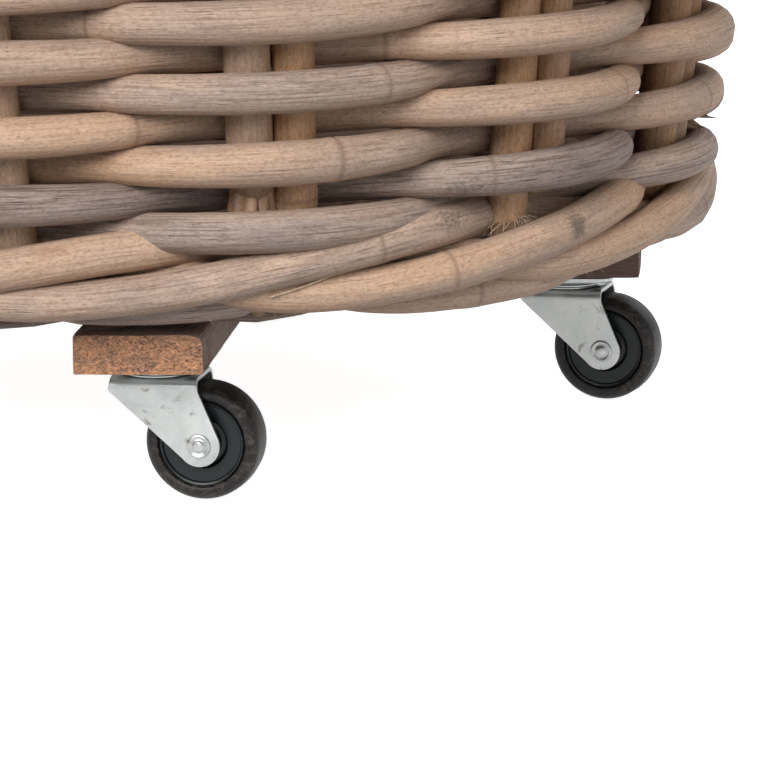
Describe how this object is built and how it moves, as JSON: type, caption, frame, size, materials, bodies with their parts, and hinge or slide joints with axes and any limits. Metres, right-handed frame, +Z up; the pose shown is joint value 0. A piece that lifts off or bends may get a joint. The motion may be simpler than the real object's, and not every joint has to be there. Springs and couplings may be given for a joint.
{
  "type": "log basket",
  "caption": "Round firewood basket woven from whole rattan cane, with rim handles, rolling on swivel castors screwed under crossed wooden battens.",
  "frame": {"origin": "on the floor, under the middle of the basket", "axes": "+Z up, +X to the right castor's side, -Y to the front castor's side"},
  "size_m": [0.636, 0.636, 0.5369],
  "materials": {
    "cane_honey": "satin natural rattan skin",
    "cane_brown": "satin weathered rattan skin",
    "cane_grey": "matt grey weathered rattan skin",
    "batten_reddish": "raw sawn hardwood",
    "batten_dark": "raw sawn hardwood, greyed",
    "zinc_steel": "zinc-plated pressed steel",
    "hub_plastic": "moulded black plastic",
    "tyre_rubber": "matt brown-black rubber"
  },
  "bodies": {
    "basket": {"basket_floor": "cane_brown", "batten_front_to_back": "batten_reddish", "batten_side_to_side": "batten_dark", "border_cane_1": "cane_grey", "border_cane_2": "cane_brown", "border_cane_3": "cane_honey", "rim_border": "cane_honey", "handle_right": "cane_honey", "handle_left": "cane_honey", "stake_pair_01": "cane_brown", "stake_pair_02": "cane_grey", "stake_pair_03": "cane_honey", "stake_pair_04": "cane_brown", "stake_pair_05": "cane_grey", "stake_pair_06": "cane_honey", "stake_pair_07": "cane_brown", "stake_pair_08": "cane_grey", "stake_pair_09": "cane_honey", "stake_pair_10": "cane_brown", "stake_pair_11": "cane_grey", "stake_pair_12": "cane_honey", "stake_pair_13": "cane_brown", "weaver_length_1": "cane_grey", "weaver_length_2": "cane_honey", "weaver_length_3": "cane_brown", "weaver_length_4": "cane_grey", "weaver_length_5": "cane_honey", "weaver_length_6": "cane_brown", "weaver_length_7": "cane_grey", "weaver_length_8": "cane_honey", "weaver_length_9": "cane_brown", "weaver_length_10": "cane_grey", "castor_front_plate": "zinc_steel", "castor_front_ball_race": "zinc_steel", "castor_front_kingpin": "zinc_steel", "castor_right_plate": "zinc_steel", "castor_right_ball_race": "zinc_steel", "castor_right_kingpin": "zinc_steel", "castor_back_plate": "zinc_steel", "castor_back_ball_race": "zinc_steel", "castor_back_kingpin": "zinc_steel", "castor_left_plate": "zinc_steel", "castor_left_ball_race": "zinc_steel", "castor_left_kingpin": "zinc_steel"},
    "castor_front_swivel": {"castor_front_fork": "zinc_steel", "castor_front_axle": "zinc_steel"},
    "castor_front_wheel": {"castor_front_hub": "hub_plastic", "castor_front_tyre": "tyre_rubber"},
    "castor_right_swivel": {"castor_right_fork": "zinc_steel", "castor_right_axle": "zinc_steel"},
    "castor_right_wheel": {"castor_right_hub": "hub_plastic", "castor_right_tyre": "tyre_rubber"},
    "castor_back_swivel": {"castor_back_fork": "zinc_steel", "castor_back_axle": "zinc_steel"},
    "castor_back_wheel": {"castor_back_hub": "hub_plastic", "castor_back_tyre": "tyre_rubber"},
    "castor_left_swivel": {"castor_left_fork": "zinc_steel", "castor_left_axle": "zinc_steel"},
    "castor_left_wheel": {"castor_left_hub": "hub_plastic", "castor_left_tyre": "tyre_rubber"}
  },
  "joints": [
    {"name": "front_swivel", "type": "hinge", "parent": "basket", "child": "castor_front_swivel", "pos_m": [0.01402, -0.21104, 0.057], "axis": [0, 0, 1], "continuous": true},
    {"name": "front_wheel_spin", "type": "hinge", "parent": "castor_front_swivel", "child": "castor_front_wheel", "pos_m": [0.03408, -0.21531, 0.0264], "axis": [0.2079, 0.9781, 0], "continuous": true},
    {"name": "right_swivel", "type": "hinge", "parent": "basket", "child": "castor_right_swivel", "pos_m": [0.21296, -0.01201, 0.057], "axis": [0, 0, 1], "continuous": true},
    {"name": "right_wheel_spin", "type": "hinge", "parent": "castor_right_swivel", "child": "castor_right_wheel", "pos_m": [0.23246, -0.01834, 0.0264], "axis": [0.309, 0.9511, 0], "continuous": true},
    {"name": "back_swivel", "type": "hinge", "parent": "basket", "child": "castor_back_swivel", "pos_m": [0.061, 0.21007, 0.057], "axis": [0, 0, 1], "continuous": true},
    {"name": "back_wheel_spin", "type": "hinge", "parent": "castor_back_swivel", "child": "castor_back_wheel", "pos_m": [0.06699, 0.22967, 0.0264], "axis": [-0.9563, 0.2924, 0], "continuous": true},
    {"name": "left_swivel", "type": "hinge", "parent": "basket", "child": "castor_left_swivel", "pos_m": [-0.19388, 0.0453, 0.057], "axis": [0, 0, 1], "continuous": true},
    {"name": "left_wheel_spin", "type": "hinge", "parent": "castor_left_swivel", "child": "castor_left_wheel", "pos_m": [-0.17709, 0.03355, 0.0264], "axis": [0.5736, 0.8192, 0], "continuous": true}
  ]
}
